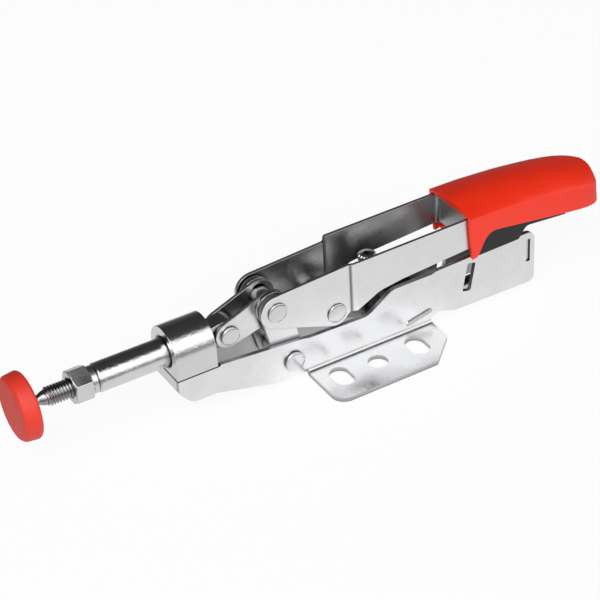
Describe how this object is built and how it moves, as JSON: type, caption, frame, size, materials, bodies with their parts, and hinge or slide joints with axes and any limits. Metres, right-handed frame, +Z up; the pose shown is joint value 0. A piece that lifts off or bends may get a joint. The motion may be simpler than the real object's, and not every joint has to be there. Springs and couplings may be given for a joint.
{
  "type": "push-pull toggle clamp",
  "caption": "In-line push-pull toggle clamp with a flanged sheet-metal base, guided plunger, capped spindle, self-adjusting rear carriage and a two-colour handle grip.",
  "frame": {"origin": "on the mounting plane, midway between the two round flange holes", "axes": "+X runs from the pressure cap along the plunger to the grip, +Y is across the base, +Z is up from the mounting plane"},
  "size_m": [0.268, 0.0694, 0.0524],
  "materials": {
    "plated_sheet": "bright zinc-plated sheet",
    "plated_bar": "bright zinc-plated bar",
    "plated_pin": "turned and plated pins, bushes and washers",
    "spring_wire": "drawn spring wire",
    "dark_screw": "blackened screw steel",
    "red_rubber": "moulded red rubber, matt",
    "red_plastic": "moulded red plastic, satin",
    "black_plastic": "moulded black plastic, satin"
  },
  "bodies": {
    "base": {"base_plate_near": "plated_sheet", "base_plate_far": "plated_sheet", "guide_collar": "plated_bar", "base_pivot_pin": "plated_pin", "base_pivot_spacer": "plated_pin", "rear_tie": "plated_sheet", "guide_rod": "plated_bar", "carriage_spring": "spring_wire"},
    "rocker": {"rocker_near": "plated_sheet", "rocker_far": "plated_sheet", "top_pin": "plated_pin", "top_pin_spacer": "plated_pin", "top_pin_washers": "plated_pin"},
    "front_links": {"front_link_near": "plated_sheet", "front_link_far": "plated_sheet", "link_pin": "plated_pin"},
    "handle": {"handle_frame": "plated_sheet", "grip_shell": "red_plastic", "grip_insert": "black_plastic", "brace_pin": "plated_pin", "brace_pin_bushes": "plated_pin"},
    "brace": {"brace": "plated_bar", "carriage_pin": "plated_pin", "adjuster_spring": "spring_wire"},
    "adjusting_screw": {"adjusting_screw": "dark_screw"},
    "carriage": {"carriage": "plated_bar"},
    "plunger": {"plunger": "plated_bar", "lock_nut": "plated_bar", "lock_washer": "plated_pin"},
    "spindle": {"spindle": "plated_bar", "pressure_cap": "red_rubber"}
  },
  "joints": [
    {"name": "rocker_swing", "type": "hinge", "parent": "base", "child": "rocker", "pos_m": [-0.0331, 0, 0.0103], "axis": [0, 1, 0], "range_deg": [0, 50]},
    {"name": "handle_lift", "type": "hinge", "parent": "rocker", "child": "handle", "pos_m": [-0.0393, 0, 0.03632], "axis": [0, 1, 0], "range_deg": [-91, 0]},
    {"name": "brace_swing", "type": "hinge", "parent": "handle", "child": "brace", "pos_m": [-0.01229, 0, 0.02522], "axis": [0, 1, 0], "range_deg": [0, 97.5]},
    {"name": "front_link_swing", "type": "hinge", "parent": "plunger", "child": "front_links", "pos_m": [-0.05827, 0, 0.03], "axis": [0, 1, 0], "range_deg": [0, 13.5]},
    {"name": "plunger_slide", "type": "slide", "parent": "base", "child": "plunger", "axis": [1, 0, 0], "range_m": [0, 0.0213]},
    {"name": "carriage_slide", "type": "slide", "parent": "base", "child": "carriage", "axis": [1, 0, 0], "range_m": [0, 0.0039]},
    {"name": "spindle_adjust", "type": "slide", "parent": "plunger", "child": "spindle", "axis": [1, 0, 0], "range_m": [-0.008, 0.006]},
    {"name": "adjusting_screw_turn", "type": "hinge", "parent": "brace", "child": "adjusting_screw", "pos_m": [0.0094, 0, 0.0384], "axis": [0, 0, 1], "range_deg": [-180, 180]}
  ],
  "couplings": [
    {"joint": "handle_lift", "follows": "rocker_swing", "ratio": -1.813},
    {"joint": "brace_swing", "follows": "rocker_swing", "ratio": 1.943},
    {"joint": "front_link_swing", "follows": "rocker_swing", "ratio": 0.267},
    {"joint": "plunger_slide", "follows": "rocker_swing", "m_per_rad": 0.0243},
    {"joint": "carriage_slide", "follows": "rocker_swing", "m_per_rad": 0.00441}
  ]
}
